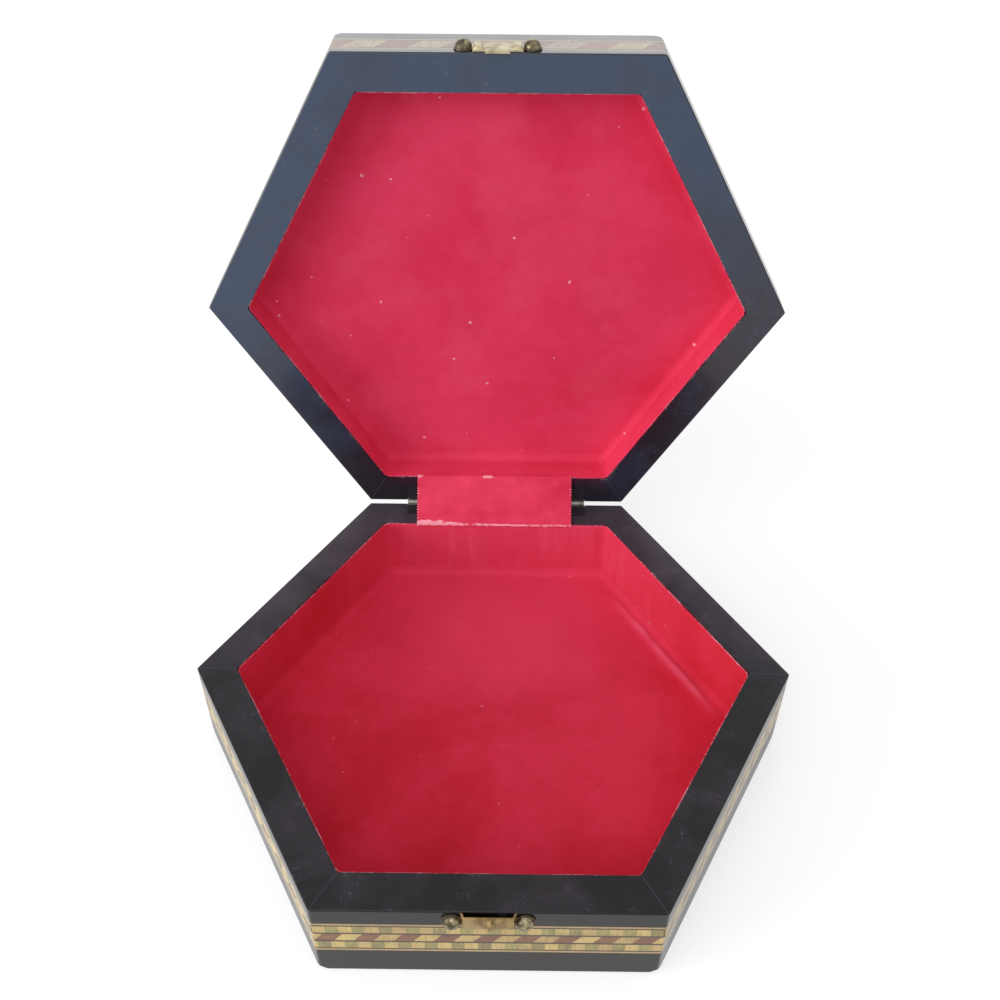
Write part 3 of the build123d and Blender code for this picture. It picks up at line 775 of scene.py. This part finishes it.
mesh = panel_sheet(panel_apothem, 0.22 * MM, 1.0, 3.0, ruck=1.0 * MM)
down = Matrix.Translation((0, 0, floor_top - GLUE_BED))
bmesh.ops.transform(mesh, matrix=down, verts=mesh.verts)
base_floor = lay_cloth("base_panel_cloth", mesh, "base", base_cloth, "base_panel_lining", -1)

mesh = panel_sheet(panel_apothem, 0.25 * MM, 0.8, 8.0)
facing = Matrix.Translation((0, ceiling + GLUE_BED, lid_middle)) @ UPRIGHT
bmesh.ops.transform(mesh, matrix=facing, verts=mesh.verts)
lid_ceiling = lay_cloth("lid_panel_cloth", mesh, "lid", lid_cloth, "lid_panel_lining", -1)

# %% [markdown]
# ## Linings round the walls
# A strip of the same cloth runs round the inside of each half, from the panel to just under the
# rim. It is a hexagonal tube whose corners are softened with a bevel, because cloth can't fold
# to a knife edge, and whose sides belly a little off the wood between the glued spots. Its top
# edge waves a little and frays.

# %% Wrap the strips
FRAY_DEPTH, FRAY = 0.8 * MM, 0.66
CORNER_BEND = 1.3 * MM
BELLY = 0.35 * MM
TUCK = 0.2 * MM  # how far the strip goes down behind the panel's lining

def wall_sheet(apothem, low, high, seed):
    """A six-sided tube of cloth round the Z axis."""
    def rising():
        """The edges that run from the bottom of the tube to its top."""
        return [edge for edge in mesh.edges
                if abs(edge.verts[0].co.z - edge.verts[1].co.z) > (high - low) / 2]

    mesh = bmesh.new()
    bmesh.ops.create_circle(mesh, segments=6, radius=apothem / math.cos(THIRTY),
                            matrix=CORNER_AT_X)
    bmesh.ops.translate(mesh, verts=mesh.verts, vec=(0, 0, low))
    top = bmesh.ops.extrude_edge_only(mesh, edges=mesh.edges)["geom"]
    risen = [item for item in top if isinstance(item, bmesh.types.BMVert)]
    bmesh.ops.translate(mesh, verts=risen, vec=(0, 0, high - low))
    bmesh.ops.bevel(mesh, geom=rising(), offset=CORNER_BEND, affect="EDGES", segments=4,
                    profile=0.5, material=-1)
    level = [edge for edge in mesh.edges if edge.calc_length() > 10 * MM
             and abs(edge.verts[0].co.z - edge.verts[1].co.z) < MM]
    bmesh.ops.subdivide_edges(mesh, edges=level, cuts=60, use_grid_fill=True)
    bmesh.ops.subdivide_edges(mesh, edges=rising(), cuts=20, use_grid_fill=True)
    frayed = mesh.verts.layers.float.new("frayed")
    for vert in mesh.verts:
        share = (vert.co.z - low) / (high - low)
        inward = Vector((-vert.co.x, -vert.co.y, 0)).normalized()
        vert[frayed] = FRAY * max(0.0, 1 - (high - vert.co.z) / FRAY_DEPTH)
        belly = math.sin(math.pi * min(max(share - 0.2, 0) / 0.8, 1))
        stretch = Vector((vert.co.x, vert.co.y, 0.35 * vert.co.z))
        wave = 0.5 + 0.35 * puff(stretch, 13 * MM, seed) + 0.25 * puff(stretch, 4 * MM, seed + 3)
        vert.co += inward * belly * BELLY * wave
        if share > 0.99:
            vert.co.z += 0.2 * MM * puff(vert.co, 4 * MM, seed + 2)
    return mesh

wall_apothem = inner_apothem - 0.35 * MM
wall_low = floor_top - TUCK
wall_high = span("base_wall_lining", Z)[1] - 0.1 * MM
mesh = wall_sheet(wall_apothem, wall_low, wall_high, 4.0)
base_walls = lay_cloth("base_wall_cloth", mesh, "base", wall_cloth, "base_wall_lining", 1)

lid_depth = ceiling - span("lid_wall_lining", Y)[0]
mesh = wall_sheet(wall_apothem, -TUCK, lid_depth - 0.1 * MM, 9.0)
facing = Matrix.Translation((0, ceiling, lid_middle)) @ UPRIGHT
bmesh.ops.transform(mesh, matrix=facing, verts=mesh.verts)
lid_walls = lay_cloth("lid_wall_cloth", mesh, "lid", lid_cloth, "lid_wall_lining", 1)

# %% [markdown]
# ## The strip over the hinge
# A short piece of cloth with pinked edges runs from the base's rim to the lid's. It hides the
# hinge, and pulled taut it stops the lid. Its lower end has torn and shows a pale frayed edge.
# A grid is shaped along the taut line, and its short sides are cut into teeth.

# %% The strip's taut path
RETURN = 0.6 * MM  # how far the strip turns in over each lining's edge
CLEAR = 0.75 * MM  # from the wood to the middle of the strip, over a lining
half_width = 27.2 * MM
middle_x = span("hinge_cover_cloth", X)[0] + half_width  # it was glued a little to the left
base_edge = Vector((0, inner_apothem, rim_height))
lid_edge = Vector((0, lid_rim, lid_low + outer_apothem - inner_apothem))
corners = [
    base_edge + Vector((0, -CLEAR, -RETURN)),
    base_edge + Vector((0, -CLEAR, 0.35 * CLEAR)),
    lid_edge + Vector((0, -0.35 * CLEAR, CLEAR)),
    lid_edge + Vector((0, RETURN, CLEAR)),
]
legs = [(after - before).length for before, after in zip(corners, corners[1:])]
strip_length = sum(legs)

def on_path(along):
    """The point that lies this far along the strip's path."""
    for corner, next_corner, leg in zip(corners, corners[1:], legs):
        if along <= leg:
            return corner.lerp(next_corner, along / leg)
        along -= leg
    return corners[-1].copy()

def softly(along):
    """The same, with the path's corners rounded off."""
    spread = min(0.8 * MM, along, strip_length - along)
    return (on_path(along - spread) + 2 * on_path(along) + on_path(along + spread)) / 4

print("the strip's path is", round(strip_length / MM, 1), "mm long")

# %% Shape the strip
PINK = 0.95 * MM  # from tooth to tooth
TOOTH = 0.35 * MM
TEETH_WORN, TEETH_CUT = 0.965, 0.99  # shares of the half width where wear and teeth begin
CREASE = 0.6 * MM

def strip_wear(x, across, along, ragged, saw):
    """How frayed the strip is: where its lower end has torn, here and there at its upper end,
    and along its teeth."""
    ripped = 2.5 * (1 - min(1.0, (across + 1) / 1.1)) ** 1.5 + 0.35
    torn = legs[0] + ripped * MM * (0.25 + 1.1 * ragged)
    wear = max(0.0, min(1.0, 3.0 * (1 - along / torn))) * (0.72 + 0.28 * ragged)
    if strip_length - along < legs[2] + 0.5 * MM:
        wear = max(0.0, 2.2 * (puff(Vector((x, 0, 0)), 7 * MM, 3.1) - 0.04))
    if abs(across) > TEETH_WORN:
        wear = max(wear, 0.85 * saw)
    return wear

mesh = bmesh.new()
bmesh.ops.create_grid(mesh, x_segments=200, y_segments=80, size=1.0)
frayed = mesh.verts.layers.float.new("frayed")
for vert in mesh.verts:
    across, share = vert.co.x, (vert.co.y + 1) / 2
    x = middle_x + across * half_width
    along = share * strip_length
    saw = abs((along / PINK) % 1.0 - 0.5) * 2
    ragged = 0.5 + 0.5 * puff(Vector((x, 0, 0)), 2.4 * MM, 7.7)
    vert[frayed] = strip_wear(x, across, along, ragged, saw)
    if abs(across) > TEETH_CUT:
        x -= math.copysign(TOOTH * (1 - saw), across)
    middle = math.sin(math.pi * share)
    crease = CREASE * middle * puff(Vector((x * 0.22, along * 1.5, 0)), 4 * MM, 1.5)
    here = softly(along)
    if share < 0.02:
        here.z += 0.5 * MM * (ragged - 0.5)
    vert.co = Vector((x, here.y - crease * 0.7, here.z + crease * 0.7))
strip = lay_cloth("hinge_strip_cloth", mesh, None, strip_cloth, "hinge_cover_cloth", 0,
                  thickness=0.25 * MM)
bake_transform(strip)
print("strip", round(2 * half_width / MM, 1), "by", round(strip_length / MM, 1), "mm")

# %% [markdown]
# ## Camera, floor and light
# The camera stands where the photograph was taken from. The floor is white and shows as white
# to the camera, to gloss and to glass, but it still receives the box's soft shadow.

# %% Camera
CAMERA_AT = (0.00282, -0.21402, 0.28130)
CAMERA_TURN = ((49.60, "X"), (0.2105, "Y"), (0.5785, "Z"))  # degrees about its own axes
camera = bpy.data.objects.new("camera", bpy.data.cameras.new("camera"))
bpy.context.scene.collection.objects.link(camera)
bpy.context.scene.camera = camera
camera.data.lens = 38.56
camera.data.sensor_width = 36
camera.data.clip_start = 0.01
stand = Matrix.Translation(CAMERA_AT)
for degrees, axis in CAMERA_TURN:
    stand = stand @ Matrix.Rotation(math.radians(degrees), 4, axis)
camera.matrix_world = stand
print("camera", round(Vector(CAMERA_AT).length / MM), "mm from the middle of the base")

# %% Floor
FLOOR_REACH = 3.0
BACK = 1.3  # from the box to the paper that rises behind it
PAPER_RISE, PAPER_BEND = 2.0, 0.4
PAPER_GLOW = 0.58

def seen_rays(tree):
    """1 for the rays that show the background itself, to the camera, in gloss or through glass."""
    rays = add(tree, "ShaderNodeLightPath").outputs
    seen = maths(tree, "MAXIMUM", rays["Is Camera Ray"], rays["Is Glossy Ray"])
    return maths(tree, "MAXIMUM", seen, rays["Is Transmission Ray"])

mesh = bmesh.new()
bmesh.ops.create_grid(mesh, x_segments=1, y_segments=1, size=FLOOR_REACH)
for vert in mesh.verts:
    if vert.co.y > 0:
        vert.co.y = BACK
back = [edge for edge in mesh.edges if all(vert.co.y > 0 for vert in edge.verts)]
risen = bmesh.ops.extrude_edge_only(mesh, edges=back)["geom"]
bmesh.ops.translate(mesh, verts=[item for item in risen if isinstance(item, bmesh.types.BMVert)],
                    vec=(0, 0, PAPER_RISE))
bmesh.ops.bevel(mesh, geom=back, offset=PAPER_BEND, affect="EDGES", segments=12, profile=0.5,
                material=-1)
paper, tree, shader, _ = new_material("white_paper_floor")
feed(tree, shader, {"Base Color": colour("#CDCDCD"), "Roughness": 0.9, "Specular IOR Level": 0.0})
glow = add(tree, "ShaderNodeEmission", {"Color": colour("#FFFFFF"),
                                       "Strength": times(tree, seen_rays(tree), PAPER_GLOW)})
total = add(tree, "ShaderNodeAddShader", {0: shader.outputs[0], 1: glow.outputs[0]})
tree.links.new(total.outputs[0], tree.nodes["Material Output"].inputs["Surface"])
floor = finish("paper_sweep", mesh, None, paper)
floor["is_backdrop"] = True
print("paper sweep", 2 * FLOOR_REACH, "m wide, rising", BACK, "m behind the box")

# %% Light
ROOM_STRENGTH = 0.75

def area_light(name, place, aim, size, power):
    """A white rectangular lamp at a place, turned to face another."""
    lamp = bpy.data.lights.new(name, "AREA")
    lamp.shape = "RECTANGLE"
    lamp.size, lamp.size_y = size
    lamp.energy = power
    holder = bpy.data.objects.new(name, lamp)
    bpy.context.scene.collection.objects.link(holder)
    holder.location = place
    holder.rotation_euler = (Vector(aim) - Vector(place)).to_track_quat("-Z", "Y").to_euler()

area_light("window_left", (-1.2, -0.45, 0.35), (0, 0, 0.08), (0.8, 0.8), 9.3)
area_light("lamp_above_front", (-0.4, -1.0, 1.25), (0, 0, 0.08), (1.0, 1.0), 5.2)
area_light("window_behind", (0.0, 1.2, 0.56), (0, 0, 0.1), (1.6, 0.4), 1.6)

world = bpy.data.worlds.new("pale_room")
bpy.context.scene.world = world
world.use_nodes = True
tree = world.node_tree
room = tree.nodes["Background"]
feed(tree, room, {"Color": colour("#E6E8EE"), "Strength": ROOM_STRENGTH})
white = add(tree, "ShaderNodeBackground", {"Color": colour("#FFFFFF"), "Strength": 1.0})
seen = add(tree, "ShaderNodeMixShader", {"Fac": seen_rays(tree), 1: room.outputs[0],
                                        2: white.outputs[0]})
tree.links.new(seen.outputs[0], tree.nodes["World Output"].inputs["Surface"])
bpy.context.scene.view_settings.view_transform = "Standard"
print("three lamps in a room of strength", ROOM_STRENGTH)

# %% Check the size and finish
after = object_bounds()
growth = [round((after[1][axis] - cad_box[1][axis]) / MM, 2) for axis in (X, Y, Z)]
print("box grew by", growth, "mm")
